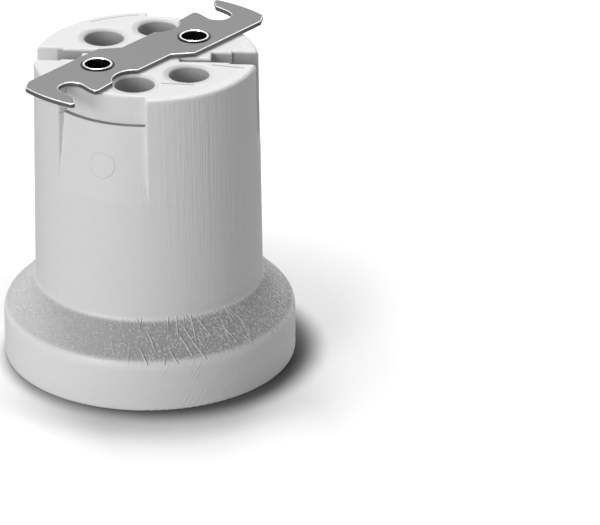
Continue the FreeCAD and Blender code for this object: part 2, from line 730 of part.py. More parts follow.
def finish_shell(solid):
    metal, turn = cells("sheet", "foot_turn")
    face = size(*PARTITION)[0]
    rear = size(*SHELL_REAR)[0]
    outside = size(*SHELL_OUT)[0]
    tab_turn = size("screw_turn")[0] + HALF_TURN
    legs = [
        (turn, "leg_wide", size("foot_long")[0], size(*SHELL_OUT, "-1*foot_pin_in")[0],
         size("pin_r", "play")[0]),
        (turn + HALF_TURN, "leg_wide", size("foot_long")[0],
         size(*SHELL_OUT, "-1*foot_pin_in")[0], size("pin_r", "play")[0]),
        (tab_turn, "tab_wide", outside - size("screw_ring", "-1*strip_reach")[0],
         size("screw_ring")[0], size("fix_m", "play")[0]),
    ]
    for angle, wide, length, hole_at, hole_r in legs:
        half = size(wide)[0] / 2
        leg = turned_box(outside - metal, outside, half, rear - 0.5, face, angle)
        foot = turned_box(outside - length, outside, half, face - metal, face, angle)
        hole = Part.makeCylinder(hole_r, 2, FreeCAD.Vector(hole_at, 0, face - 1.5))
        hole.rotate(FreeCAD.Vector(), UP, angle)
        solid = solid.fuse(leg).fuse(foot).cut(hole)
    inside = size("thread_r", "-1.5*thread_deep")[0]
    beyond = size(*SHELL_OUT, "shell_gap")[0]
    for name in ("notch", "step"):
        low = size("shell_front", name + "_low")[0]
        high = size("shell_front", name + "_low", name + "_tall")[0]
        half = size("0.5*%s_wide" % name)[0]
        solid = solid.cut(turned_box(inside, beyond, half, low, high, size(name + "_turn")[0]))
    made = doc.addObject("Part::Feature", "screw_shell")
    made.Label = "screw_shell"
    made.Shape = solid
    return made


def assemble():
    ceramic_body()
    fixing_bracket()
    low = minus("rivet_seat", "washer_thick")
    for side, turn in (("right", size("bracket_turn")[0]),
                       ("left", size("bracket_turn")[0] + HALF_TURN)):
        rivet("bracket_rivet_" + side, turn)
        x, y = polar(size("rivet_ring"), turn)
        ring("rivet_washer_" + side, size("washer_r"), size("rivet_r", "rivet_play"),
             size("washer_thick"), x, y,
             size("tall", "-1*rivet_seat", "-1*washer_thick"))
    front = {"middle": size(*STRIP_FRONT), "shell": size(*PARTITION, "-1*sheet")}
    for name, turn in (("middle", size("screw_turn")[0]),
                       ("shell", size("screw_turn")[0] + HALF_TURN)):
        x, y = polar(size("screw_ring"), turn)
        terminal_block("terminal_block_" + name, turn)
        clamp_plate("clamp_plate_" + name, turn)
        slotted_screw("terminal_screw_" + name, size("screw_m"), size("screw_head"),
                      size("screw_head_tall"), size("clamp_thick", "screw_long"),
                      x, y, size(*BLOCK_REAR, "clamp_thick"), turn + TERMINAL_SLOT_TURN)
        slotted_screw("fixing_screw_" + name, size("fix_m"), size("fix_head"),
                      size("fix_head_tall"), size("fix_long"), x, y, front[name],
                      turn + FIXING_SLOT_TURN, True)
    contact_strip()
    contact_stem()
    contact_button()
    contact_spring()
    screw_shell()
    for side, turn in (("right", size("foot_turn")[0]),
                       ("left", size("foot_turn")[0] + HALF_TURN)):
        x, y = polar(size(*SHELL_OUT, "-1*foot_pin_in"), turn)
        pin("shell_pin_" + side, x, y)


# A headed pin set in the ceramic holds each foot of the shell.
def pin(label, x, y):
    body = new_body(label)
    profile = new_sketch(body, label + "_profile", "XZ_Plane")
    outline(profile, [
        (ZERO, minus("pin_head_tall")),
        (size("pin_head", -0.6), minus("pin_head_tall")),
        (size("pin_head"), minus("pin_head_tall", -0.6)),
        (size("pin_head"), ZERO),
        (size("pin_r"), ZERO),
        (size("pin_r"), size("pin_long")),
        (ZERO, size("pin_long")),
    ])
    revolve(body, profile, label + "_turned")
    place(body, x, y, size(*PARTITION, "-1*sheet"))
    return body


assemble()
doc.recompute()

PARTS = [thing for thing in doc.Objects
         if thing.TypeId in ("PartDesign::Body", "Part::Feature")]
for thing in doc.Objects:
    if "Invalid" in thing.State or "Error" in thing.State:
        raise RuntimeError("failed object " + thing.Name)
for thing in PARTS:
    if thing.Shape.isNull() or not thing.Shape.isValid():
        raise RuntimeError("bad shape " + thing.Label)
os.makedirs("parts", exist_ok=True)
for thing in PARTS:
    print(thing.Label, round(thing.Shape.Volume, 1), len(thing.Shape.Solids))
    thing.Shape.exportStep("parts/" + thing.Label + ".step")
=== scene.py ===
import math

import bpy
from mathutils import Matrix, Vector


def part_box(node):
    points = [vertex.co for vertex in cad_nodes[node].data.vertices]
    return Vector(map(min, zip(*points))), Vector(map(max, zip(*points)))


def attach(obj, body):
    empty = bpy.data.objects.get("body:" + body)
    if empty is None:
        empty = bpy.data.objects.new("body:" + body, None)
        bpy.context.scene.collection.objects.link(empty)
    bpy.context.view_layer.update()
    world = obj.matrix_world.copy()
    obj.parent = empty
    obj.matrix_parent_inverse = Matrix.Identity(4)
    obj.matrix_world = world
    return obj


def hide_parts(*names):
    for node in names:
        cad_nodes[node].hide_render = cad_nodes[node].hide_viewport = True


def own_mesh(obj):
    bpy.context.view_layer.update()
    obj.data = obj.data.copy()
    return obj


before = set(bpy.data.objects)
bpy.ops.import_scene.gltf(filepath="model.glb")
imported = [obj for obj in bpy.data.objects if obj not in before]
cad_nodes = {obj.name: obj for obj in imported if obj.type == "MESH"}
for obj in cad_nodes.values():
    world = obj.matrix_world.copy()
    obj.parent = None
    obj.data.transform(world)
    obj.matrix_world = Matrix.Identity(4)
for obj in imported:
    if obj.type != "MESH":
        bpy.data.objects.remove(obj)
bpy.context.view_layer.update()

# The body: one piece of white ceramic, pressed in a steel die and fired without a glossy
# glaze. The die leaves fine drawn lines down the sides, a speckled band with scored marks
# on the shoulder, and a crossed pattern on the cone inside the mouth. The shoulder band is
# coloured darker, and painted shade darkens it further towards the right.

# Places are in millimetres: heights above the mouth rim, rings from the axis, and across
# from left to right. A pair says where a mark starts to show and where it is full, or
# beside a soft width its two limits.
MM = 0.001
CERAMIC_WHITE, BLUE_SHARE = 0.80, 0.995
CERAMIC_ROUGHNESS, ROUGHNESS_SPREAD = 0.46, 0.12
TOWARDS_RIGHT = (-12.0, 20.0)
NOISE_ROUGHNESS = 0.6
PEEL_NOISE, PEEL_DEPTH, PEEL_TONE = (0.55, 3.0), 0.050, 0.05
GRAIN_NOISE, GRAIN_DEPTH = (4.5, 2.0), 0.006

DRAWN_NOISE, DRAWN_STRETCH, DRAWN_TONE = (1.5, 4.0), (1, 1, 0.022), 0.09
DRAWN_HEIGHTS, DRAWN_OUTSIDE = (20.0, 24.0), (22.5, 23.5)
DRAWN_DEPTH_LEFT, DRAWN_DEPTH_RIGHT = 0.020, 0.180
DRAWN_UPWARDS, DRAWN_LOW_SHARE = (26.0, 52.0), 0.4

SHOULDER_RISE, SHOULDER_FADE, SHOULDER_OUTSIDE = (12.1, 13.4), (20.1, 19.1), (25.6, 26.1)
SPECKLE_NOISE, SPECKLE_EDGES, SPECKLE_DEPTH = (1.7, 4.0), (0.42, 0.64), 0.13
SPECKLE_TONE_LEFT, SPECKLE_TONE_RIGHT = 0.13, 0.27
# The shoulder band is darker, and painted shade darkens it more towards the right.
SHOULDER_DARK_TONE, SHOULDER_SHADE_ACROSS = -0.30, (-30.0, 6.0)
SHOULDER_SHADE_LEFT, SHOULDER_SHADE_RIGHT = 0.58, 1.38
FLANGE_HEIGHTS, FLANGE_TONE = (13.0, 11.0), 0.055

# A row of strokes has a tilt in degrees, strokes a millimetre, length to width, and a
# thickness as a share of the space between them.
SCORED_ROWS = ((-27.0, 0.62, 9.0, 0.20), (4.0, 0.55, 11.0, 0.17))
SCORED_HEIGHTS, SCORED_SOFT = (12.5, 19.9), 0.8
SCORED_RIGHT, SCORED_RIGHT_SHARE = (-5.0, 0.0), 0.8
SCORED_LEFT, SCORED_LEFT_SHARE = (-14.0, -9.0), 0.2
HATCHED_ROWS = ((-29.0, 1.15, 26.0, 0.17), (27.0, 1.05, 26.0, 0.17))
HATCHED_HEIGHTS, HATCHED_SOFT, HATCHED_OUTSIDE = (2.0, 12.0), 2.0, (30.5, 31.0)
HATCHED_ACROSS, HATCHED_SHARE = (-8.0, 4.0), 0.13
STROKE_RING, STROKE_CORE, STROKE_DEPTH, STROKE_TONE = 30.0, 0.35, 0.42, 0.34

CONE_HEIGHTS, CONE_SOFT = (7.2, 19.3), 0.6
CONE_RING, CONE_SLOPE, CONE_INSIDE = 26.0, 0.528, (34.0, 33.0)
CROSSED_LEAN, CROSSED_PITCH, CROSSED_RIDGE = 1.25, 2.72, (0.80, 0.98)
CROSSED_DEPTH, CROSSED_TONE = -0.09, -0.10

DIE_MARK_PLACE, DIE_MARK_RING = (-9.8, -23.6, 58.1), 3.0
DIE_MARK_HALF, DIE_MARK_SOFT, DIE_MARK_DEPTH = 0.12, 0.25, 0.09

REAR_FACE = (74.85, 74.9)
STEP_LINES = (((4.0, -15.9), (11.2, -16.7)), ((15.5, -5.5), (22.6, -7.2)))
STEP_LINE_WIDE, LINE_CORE = 0.36, 0.3
STEP_ARC_RING, STEP_ARC_HALF, STEP_ARC_SOFT = 23.7, 0.08, 0.14
STEP_ARC_DEGREES, STEP_ARC_END_SOFT = (96.0, 124.0), 0.8
# The steps' tone is painted shade along their edges.
STEP_DEPTH, STEP_SHADE_TONE = -0.12, -0.42

RECESS_MIDDLE_DEG, RECESS_COSINES, RECESS_OUTSIDE = 66.0, (0.62, 0.66), (22.8, 23.2)
# A painted shade line in the crease at the top of the recess.
CREASE_HEIGHTS, CREASE_SOFT, CREASE_SHADE_TONE = (67.96, 68.06), 0.12, -0.52

HOLES = ((2.255, 16.042), (-2.255, -16.042), (-10.142, 10.502), (10.142, -10.502))
COLLAR, COLLAR_HEIGHTS, COLLAR_DEPTH = (6.3, 4.65), (60.0, 61.0), -0.60
BORE_INSIDE, BORE_HEIGHTS, BORE_SOFT = (21.5, 21.0), (50.2, 74.3), 0.4
BORE_DOWNWARDS, BORE_DARK_TOP, BORE_DARK_DEEP = (74.3, 62.0), 0.38, 0.66
SLOT_TOP, SLOT_UPWARDS, SLOT_DARK = (74.7, 74.3), (52.0, 60.0), 0.46
SLOT_SIDES, SLOT_SIDES_SOFT = (-4.6, 4.6), 0.1
SLOT_ACROSS, SLOT_ACROSS_SOFT = (20.0, 25.4), 0.5


def new_material(name):
    material = bpy.data.materials.new(name)
    material.use_nodes = True
    tree = material.node_tree
    return material, tree, tree.nodes["Principled BSDF"]


def fill_socket(tree, socket, value):
    if isinstance(value, bpy.types.NodeSocket):
        tree.links.new(value, socket)
    else:
        socket.default_value = value


def add_node(tree, kind, settings=None, **inputs):
    node = tree.nodes.new(kind)
    for name, value in (settings or {}).items():
        setattr(node, name, value)
    for name, value in inputs.items():
        fill_socket(tree, node.inputs[name.replace("_", " ")], value)
    return node


def calc(tree, operation, *values):
    node = tree.nodes.new("ShaderNodeMath")
    node.operation = operation
    for socket, value in zip(node.inputs, values):
        fill_socket(tree, socket, value)
    return node.outputs[0]


def product(tree, first, *others):
    for other in others:
        first = calc(tree, "MULTIPLY", first, other)
    return first


def length_of(tree, x, y):
    return calc(tree, "SQRT", calc(tree, "MULTIPLY_ADD", x, x, calc(tree, "MULTIPLY", y, y)))


# Low where a share is 0, high where it is 1.
def between(tree, share, low, high):
    return calc(tree, "MULTIPLY_ADD", share, high - low, low)


# Rises smoothly from 0 to 1 as a value goes from start to end.
def ramp_up(tree, value, start, end):
    node = add_node(tree, "ShaderNodeMapRange", {"interpolation_type": "SMOOTHSTEP"},
                    Value=value, From_Min=start, From_Max=end)
    return node.outputs["Result"]


# 1 between low and high, fading to 0 over soft on each side.
def band(tree, value, low, high, soft):
    rising = ramp_up(tree, value, low - soft, low)
    falling = ramp_up(tree, value, high + soft, high)
    return product(tree, rising, falling)


# Adds each mask to a base by its own strength.
def add_layers(tree, base, layers):
    for mask, strength in layers:
        base = calc(tree, "MULTIPLY_ADD", mask, strength, base)
    return base


# Distance, as seen from above, to the nearest of several upright axes.
def from_nearest(tree, x, y, axes):
    nearest = None
    for axis_x, axis_y in axes:
        away = length_of(tree, calc(tree, "SUBTRACT", x, axis_x),
                         calc(tree, "SUBTRACT", y, axis_y))
        nearest = away if nearest is None else calc(tree, "MINIMUM", nearest, away)
    return nearest


def place_in_mm(tree):
    spot = add_node(tree, "ShaderNodeTexCoord").outputs["Object"]
    scaled = add_node(tree, "ShaderNodeVectorMath", {"operation": "SCALE"},
                      Vector=spot, Scale=1.0 / MM)
    return scaled.outputs[0]


def noise(tree, place, fineness, detail, stretch=(1, 1, 1)):
    moved = add_node(tree, "ShaderNodeMapping", Vector=place, Scale=stretch)
    node = add_node(tree, "ShaderNodeTexNoise", Vector=moved.outputs[0], Scale=fineness,
                    Detail=detail, Roughness=NOISE_ROUGHNESS)
    return node.outputs[0]


# Light strokes scattered over a surface that is unrolled to across and along.
def scattered_strokes(tree, across, along, rows):
    flat = add_node(tree, "ShaderNodeCombineXYZ", X=across, Y=along).outputs[0]
    strokes = []
    for tilt_deg, per_mm, slender, thick in rows:
        turned = add_node(tree, "ShaderNodeMapping", Vector=flat,
                          Rotation=(0, 0, math.radians(tilt_deg)))
        squeezed = add_node(tree, "ShaderNodeMapping", Vector=turned.outputs[0],
                            Scale=(per_mm, per_mm / slender, 1))
        cells = add_node(tree, "ShaderNodeTexVoronoi",
                         {"voronoi_dimensions": "2D", "feature": "F1"},
                         Vector=squeezed.outputs[0], Scale=1.0)
        strokes.append(ramp_up(tree, cells.outputs["Distance"], thick, thick * STROKE_CORE))
    return calc(tree, "MAXIMUM", *strokes)


# 1 on a thin line between two points of a flat face, fading to 0 beside it.
def thin_line(tree, x, y, start, end, wide):
    along = (end[0] - start[0], end[1] - start[1])
    reach = along[0] ** 2 + along[1] ** 2
    from_x = calc(tree, "SUBTRACT", x, start[0])
    from_y = calc(tree, "SUBTRACT", y, start[1])
    share = calc(tree, "MULTIPLY_ADD", from_x, along[0] / reach,
                 calc(tree, "MULTIPLY", from_y, along[1] / reach))
    share = calc(tree, "MINIMUM", calc(tree, "MAXIMUM", share, 0.0), 1.0)
    off_x = calc(tree, "SUBTRACT", from_x, calc(tree, "MULTIPLY", share, along[0]))
    off_y = calc(tree, "SUBTRACT", from_y, calc(tree, "MULTIPLY", share, along[1]))
    return ramp_up(tree, length_of(tree, off_x, off_y), wide, wide * LINE_CORE)


# The scored marks on the shoulder and, much fainter, the crossed ones on the flange.
def stroke_mask(tree, x, z, ring, turn):
    unrolled = calc(tree, "MULTIPLY", turn, STROKE_RING)
    strong = calc(tree, "MULTIPLY", ramp_up(tree, x, *SCORED_LEFT), SCORED_LEFT_SHARE)
    strong = calc(tree, "MULTIPLY_ADD", ramp_up(tree, x, *SCORED_RIGHT), SCORED_RIGHT_SHARE,
                  strong)
    scored = product(tree, scattered_strokes(tree, unrolled, z, SCORED_ROWS),
                     band(tree, z, *SCORED_HEIGHTS, SCORED_SOFT),
                     ramp_up(tree, ring, *SHOULDER_OUTSIDE), strong)
    hatched = product(tree, scattered_strokes(tree, unrolled, z, HATCHED_ROWS),
                      band(tree, z, *HATCHED_HEIGHTS, HATCHED_SOFT),
                      ramp_up(tree, ring, *HATCHED_OUTSIDE), ramp_up(tree, x, *HATCHED_ACROSS))
    return calc(tree, "MULTIPLY_ADD", hatched, HATCHED_SHARE, scored)


# Two sets of ridges that cross on the cone inside the mouth.
def crossed_mask(tree, z, ring, turn):
    reach = calc(tree, "MULTIPLY_ADD", z, CONE_SLOPE, ring)
    across = calc(tree, "MULTIPLY", turn, CONE_RING)
    ridges = []
    for lean in (CROSSED_LEAN, -CROSSED_LEAN):
        slanted = calc(tree, "MULTIPLY_ADD", z, lean, across)
        wave = calc(tree, "SINE", calc(tree, "MULTIPLY", slanted, math.tau / CROSSED_PITCH))
        ridges.append(ramp_up(tree, wave, *CROSSED_RIDGE))
    return product(tree, calc(tree, "MAXIMUM", *ridges),
                   band(tree, z, *CONE_HEIGHTS, CONE_SOFT), ramp_up(tree, reach, *CONE_INSIDE))


# The small plain ring that a pin of the die left on the side.
def die_mark_mask(tree, place):
    away = add_node(tree, "ShaderNodeVectorMath", {"operation": "DISTANCE"}, Vector=place)
    away.inputs[1].default_value = DIE_MARK_PLACE
    return band(tree, away.outputs["Value"], DIE_MARK_RING - DIE_MARK_HALF,
                DIE_MARK_RING + DIE_MARK_HALF, DIE_MARK_SOFT)


# The edges of the low steps in the rear face: a small bump, and painted shade along each edge.
def step_mask(tree, x, y, z, ring, turn):
    degrees = calc(tree, "MULTIPLY", turn, math.degrees(1.0))
    steps = product(tree, band(tree, ring, STEP_ARC_RING - STEP_ARC_HALF,
                               STEP_ARC_RING + STEP_ARC_HALF, STEP_ARC_SOFT),
                    band(tree, degrees, *STEP_ARC_DEGREES, STEP_ARC_END_SOFT))
    for start, end in STEP_LINES:
        steps = calc(tree, "MAXIMUM", steps,
                     thin_line(tree, x, y, start, end, STEP_LINE_WIDE))
    return product(tree, steps, ramp_up(tree, z, *REAR_FACE))


# Painted shade: a dark line in the crease along the top of the recess in each side.
def crease_shade_mask(tree, z, ring, turn):
    off_middle = calc(tree, "COSINE", calc(tree, "MULTIPLY_ADD", turn, 2.0,
                                           -2.0 * math.radians(RECESS_MIDDLE_DEG)))
    return product(tree, band(tree, z, *CREASE_HEIGHTS, CREASE_SOFT),
                   ramp_up(tree, off_middle, *RECESS_COSINES),
                   ramp_up(tree, ring, *RECESS_OUTSIDE))


# Painted shade in the insides of the rear end's holes and of the wire slot, which little light
# reaches.
def hollow_shade_mask(tree, x, y, z, ring):
    dark = between(tree, ramp_up(tree, z, *BORE_DOWNWARDS), BORE_DARK_TOP, BORE_DARK_DEEP)
    bores = product(tree, ramp_up(tree, ring, *BORE_INSIDE),
                    band(tree, z, *BORE_HEIGHTS, BORE_SOFT), dark)
    slot = product(tree, ramp_up(tree, z, *SLOT_TOP), ramp_up(tree, z, *SLOT_UPWARDS),
                   band(tree, y, *SLOT_SIDES, SLOT_SIDES_SOFT),
                   band(tree, x, *SLOT_ACROSS, SLOT_ACROSS_SOFT), SLOT_DARK)
    return calc(tree, "MAXIMUM", bores, slot)


def ceramic_material():
    material, tree, shader = new_material("white_ceramic")
    place = place_in_mm(tree)
    x, y, z = add_node(tree, "ShaderNodeSeparateXYZ", Vector=place).outputs
    ring = length_of(tree, x, y)
    turn = calc(tree, "ARCTAN2", y, x)
    towards_right = ramp_up(tree, x, *TOWARDS_RIGHT)

    peel = noise(tree, place, *PEEL_NOISE)
    grain = noise(tree, place, *GRAIN_NOISE)
    speckle = ramp_up(tree, noise(tree, place, *SPECKLE_NOISE), *SPECKLE_EDGES)
    shoulder = product(tree, ramp_up(tree, z, *SHOULDER_RISE), ramp_up(tree, z, *SHOULDER_FADE),
                       ramp_up(tree, ring, *SHOULDER_OUTSIDE))
    drawn = product(tree, noise(tree, place, *DRAWN_NOISE, DRAWN_STRETCH),
                    ramp_up(tree, z, *DRAWN_HEIGHTS), ramp_up(tree, ring, *DRAWN_OUTSIDE))
    strokes = stroke_mask(tree, x, z, ring, turn)
    crossed = crossed_mask(tree, z, ring, turn)
    steps = step_mask(tree, x, y, z, ring, turn)
    collars = product(tree, ramp_up(tree, from_nearest(tree, x, y, HOLES), *COLLAR),
                      ramp_up(tree, z, *COLLAR_HEIGHTS))

    height = product(tree, drawn,
                     between(tree, towards_right, DRAWN_DEPTH_LEFT, DRAWN_DEPTH_RIGHT),
                     between(tree, ramp_up(tree, z, *DRAWN_UPWARDS), DRAWN_LOW_SHARE, 1.0))
    height = add_layers(tree, height, (
        (peel, PEEL_DEPTH),
        (grain, GRAIN_DEPTH),
        (product(tree, speckle, shoulder), SPECKLE_DEPTH),
        (strokes, STROKE_DEPTH),
        (crossed, CROSSED_DEPTH),
        (die_mark_mask(tree, place), DIE_MARK_DEPTH),
        (steps, STEP_DEPTH),
        (collars, COLLAR_DEPTH),
    ))
    bump = add_node(tree, "ShaderNodeBump", Height=height, Distance=MM, Strength=1.0)

    # Shoulder band: darker tone with lighter speckles, and painted shade growing towards the
    # right.
    shoulder_tone_and_shade = between(tree, towards_right, SPECKLE_TONE_LEFT, SPECKLE_TONE_RIGHT)
    shoulder_tone_and_shade = calc(tree, "MULTIPLY_ADD", speckle, shoulder_tone_and_shade, SHOULDER_DARK_TONE)
    shoulder_tone_and_shade = product(tree, shoulder_tone_and_shade, between(tree, ramp_up(tree, x, *SHOULDER_SHADE_ACROSS),
                                       SHOULDER_SHADE_LEFT, SHOULDER_SHADE_RIGHT))
    tone = add_layers(tree, CERAMIC_WHITE - PEEL_TONE / 2, (
        (peel, PEEL_TONE),
        (product(tree, drawn, towards_right), DRAWN_TONE),
        (shoulder, shoulder_tone_and_shade),
        (strokes, STROKE_TONE),
        (crossed, CROSSED_TONE),
        (steps, STEP_SHADE_TONE),
        (crease_shade_mask(tree, z, ring, turn), CREASE_SHADE_TONE),
        (ramp_up(tree, z, *FLANGE_HEIGHTS), FLANGE_TONE),
    ))
    # Painted shade darkens the holes and the slot inside the rear end.
    tone = product(tree, tone, calc(tree, "SUBTRACT", 1.0, hollow_shade_mask(tree, x, y, z, ring)))
    colour = add_node(tree, "ShaderNodeCombineColor", Red=tone, Green=tone,
                      Blue=calc(tree, "MULTIPLY", tone, BLUE_SHARE))
    rough = between(tree, speckle, CERAMIC_ROUGHNESS - ROUGHNESS_SPREAD / 2,
                    CERAMIC_ROUGHNESS + ROUGHNESS_SPREAD / 2)
    tree.links.new(colour.outputs[0], shader.inputs["Base Color"])
    tree.links.new(rough, shader.inputs["Roughness"])
    tree.links.new(bump.outputs[0], shader.inputs["Normal"])
    return material


def finish_node(name, material):
    node = cad_nodes[name]
    node.data.materials.clear()
    node.data.materials.append(material)


finish_node("ceramic_body", ceramic_material())

# The fixing bracket: flat mild steel sheet, blanked in one stroke and zinc plated, so
# its broad faces are an even dull grey. Its sheared edges carry a painted highlight, a
# bright metal on the narrow faces of the bevel.

SHEET_GREY = (0.158, 0.158, 0.160)
# The painted highlight's grey for the bracket's bevel faces.
EDGE_HIGHLIGHT_GREY = (0.80, 0.80, 0.80)
EDGE_BEVEL, BEVEL_SEGMENTS, BEVEL_FROM_DEG = 0.00018, 3, 50
FLAT_WITHIN_DEG, SHEET_SMOOTH_DEG = 1.0, 35
MERGE_CAD_WITHIN = 1e-6
FINE_DETAIL, FINE_ROUGHNESS, FINE_SHARE = 4.0, 0.65, 0.6
BROAD_FINENESS, BROAD_DETAIL = 0.18, 2.0
METAL_ROUGHNESS_SPREAD = 0.15
MIX_SHARE, MIX_FIRST, MIX_SECOND, MIX_RESULT = 0, 6, 7, 2


# Fine even grain of a metal surface: a tone from 0 to 1 and a height in millimetres.
def metal_grain_group():
    group = bpy.data.node_groups.new("metal_grain", "ShaderNodeTree")
    for name, kind in (("Scale", "NodeSocketFloat"), ("Stretch", "NodeSocketVector"),
                       ("Depth", "NodeSocketFloat")):
        group.interface.new_socket(name, in_out="INPUT", socket_type=kind)
    for name in ("Tone", "Height"):
        group.interface.new_socket(name, in_out="OUTPUT", socket_type="NodeSocketFloat")
    entry = group.nodes.new("NodeGroupInput")
    leave = group.nodes.new("NodeGroupOutput")
    spot = place_in_mm(group)
    moved = add_node(group, "ShaderNodeMapping", Vector=spot, Scale=entry.outputs["Stretch"])
    fine = add_node(group, "ShaderNodeTexNoise", Vector=moved.outputs[0],
                    Scale=entry.outputs["Scale"], Detail=FINE_DETAIL, Roughness=FINE_ROUGHNESS)
    broad = add_node(group, "ShaderNodeTexNoise", Vector=spot, Scale=BROAD_FINENESS,
                     Detail=BROAD_DETAIL)
    tone = calc(group, "MULTIPLY_ADD", fine.outputs[0], FINE_SHARE,
                calc(group, "MULTIPLY", broad.outputs[0], 1.0 - FINE_SHARE))
    group.links.new(tone, leave.inputs["Tone"])
    group.links.new(calc(group, "MULTIPLY", fine.outputs[0], entry.outputs["Depth"]),
                    leave.inputs["Height"])
    return group


metal_grain = metal_grain_group()


def mix_colours(tree, share, first, second):
    mixed = tree.nodes.new("ShaderNodeMix")
    mixed.data_type = "RGBA"
    for socket, value in ((MIX_SHARE, share), (MIX_FIRST, first), (MIX_SECOND, second)):
        fill_socket(tree, mixed.inputs[socket], value)
    return mixed.outputs[MIX_RESULT]


# Bare metal whose colour varies a little over the surface, by spread to each side.
def metal_material(name, colour, roughness, fineness, depth, stretch=(1, 1, 1), spread=0.12):
    material, tree, shader = new_material(name)
    grain = tree.nodes.new("ShaderNodeGroup")
    grain.node_tree = metal_grain
    for socket, value in (("Scale", fineness), ("Stretch", stretch), ("Depth", depth)):
        grain.inputs[socket].default_value = value
    tone = grain.outputs["Tone"]
    shades = []
    for amount in (1.0 - spread, 1.0 + spread):
        shades.append(tuple(min(1.0, part * amount) for part in colour) + (1.0,))
    tree.links.new(mix_colours(tree, tone, *shades), shader.inputs["Base Color"])
    rough = between(tree, tone, roughness - METAL_ROUGHNESS_SPREAD / 2,
                    roughness + METAL_ROUGHNESS_SPREAD / 2)
    tree.links.new(rough, shader.inputs["Roughness"])
    shader.inputs["Metallic"].default_value = 1.0
    bump = add_node(tree, "ShaderNodeBump", Height=grain.outputs["Height"], Distance=MM,
                    Strength=1.0)
    tree.links.new(bump.outputs[0], shader.inputs["Normal"])
    return material


# Only the one object is selected and active, as the operators want it.
def choose(thing):
    bpy.ops.object.select_all(action="DESELECT")
    thing.select_set(True)
    bpy.context.view_layer.objects.active = thing


def apply_modifier(thing, kind, **settings):
    choose(thing)
    modifier = thing.modifiers.new(kind.lower(), kind)
    for name, value in settings.items():
        setattr(modifier, name, value)
    bpy.ops.object.modifier_apply(modifier=modifier.name)


# A copy of a node's mesh with its loose triangles joined, and its flat faces too.
def joined_copy(name, node_name, materials, flat_within_deg=0.0):
    piece = bpy.data.objects.new(name, cad_nodes[node_name].data.copy())
    bpy.context.scene.collection.objects.link(piece)
    piece.data.materials.clear()
    for material in materials:
        piece.data.materials.append(material)
    choose(piece)
    bpy.ops.object.mode_set(mode="EDIT")
    bpy.ops.mesh.select_all(action="SELECT")
    bpy.ops.mesh.remove_doubles(threshold=MERGE_CAD_WITHIN)
    if flat_within_deg:
        bpy.ops.mesh.dissolve_limited(angle_limit=math.radians(flat_within_deg))
    bpy.ops.object.mode_set(mode="OBJECT")
    return piece


sheet_steel = metal_material("bracket_steel", SHEET_GREY, roughness=0.60, fineness=3.0,
                             depth=0.003, spread=0.07)
painted_edge_highlight = metal_material("painted_edge_highlight", EDGE_HIGHLIGHT_GREY, roughness=0.30, fineness=4.0,
                              depth=0.004)

# The narrow faces that the bevel makes take the second material, the painted highlight.
bracket = joined_copy("steel_bracket", "fixing_bracket", (sheet_steel, painted_edge_highlight),
                      FLAT_WITHIN_DEG)
apply_modifier(bracket, "BEVEL", width=EDGE_BEVEL, segments=BEVEL_SEGMENTS,
               limit_method="ANGLE", angle_limit=math.radians(BEVEL_FROM_DEG),
               use_clamp_overlap=False, loop_slide=False, material=1)
bpy.ops.object.shade_smooth_by_angle(angle=math.radians(SHEET_SMOOTH_DEG))
apply_modifier(bracket, "WEIGHTED_NORMAL", weight=100, keep_sharp=True)
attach(bracket, "holder")
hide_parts("fixing_bracket")

# The rivets and their washers: hollow rivets of nickel-plated brass tube, drawn down
# through the bracket and rolled over to a bright round lip.

RIVET_AXES_MM = {"right": (10.947, 8.071), "left": (-10.947, -8.071)}
RIVET_BORE_MM, RIVET_SHANK_MM, RIVET_SKIRT_MM = 2.95, 3.4, 4.0
LIP_RING_MM, LIP_ROUND_MM, LIP_ARC_DEG, LIP_STEPS = 3.22, 0.27, (180.0, -20.0), 12
GROOVE_IN_MM, GROOVE_UP_MM = 0.15, 0.06
SKIRT_IN_MM, SKIRT_UP_MM = 0.08, 0.10
RIVET_FOOT_MM, RIVET_FOOT_THICK_MM, FOOT_ROUND_MM = 63.6, 0.4, 0.2
PLATE_TOP_MM, RIVET_TOP_MM = 76.2, 76.6
GROOVE_OUTSIDE_MM, GROOVE_HEIGHTS_MM = (3.36, 3.50), (76.1, 76.2)
DARK_INSIDE_MM, DARK_HEIGHTS_MM, DARK_SHARE = (3.08, 2.98), (76.45, 76.30), 0.85
# The colour of the painted shade in the lip's groove and down the bore.
GROOVE_AND_BORE_SHADE = (0.035, 0.035, 0.035, 1.0)
ROUND_SIDES, ROUND_SMOOTH_DEG = 64, 40
MERGE_WITHIN = 1e-7


# A round piece turned from its outline, a closed row of radius and height in mm.
def turned_piece(name, outline, centre_mm, material):
    first = outline[0]
    bpy.ops.object.select_all(action="DESELECT")
    bpy.ops.mesh.primitive_circle_add(vertices=ROUND_SIDES, radius=first[0] * MM,
                                      location=(0, 0, first[1] * MM))
    piece = bpy.context.active_object
    piece.name = name
    bpy.ops.object.mode_set(mode="EDIT")
    bpy.ops.mesh.select_all(action="SELECT")
    last = first
    for spot in outline[1:] + outline[:1]:
        bpy.ops.mesh.extrude_region_move(
            TRANSFORM_OT_translate={"value": (0, 0, (spot[1] - last[1]) * MM)})
        bpy.ops.transform.resize(value=(spot[0] / last[0], spot[0] / last[0], 1))
        last = spot
    bpy.ops.mesh.select_all(action="SELECT")
    bpy.ops.mesh.remove_doubles(threshold=MERGE_WITHIN)
    bpy.ops.mesh.normals_make_consistent(inside=False)
    bpy.ops.transform.translate(value=(centre_mm[0] * MM, centre_mm[1] * MM, 0))
    bpy.ops.object.mode_set(mode="OBJECT")
    bpy.ops.object.transform_apply(location=True, rotation=False, scale=False)
    bpy.ops.object.shade_smooth_by_angle(angle=math.radians(ROUND_SMOOTH_DEG))
    piece.data.materials.append(material)
    return piece


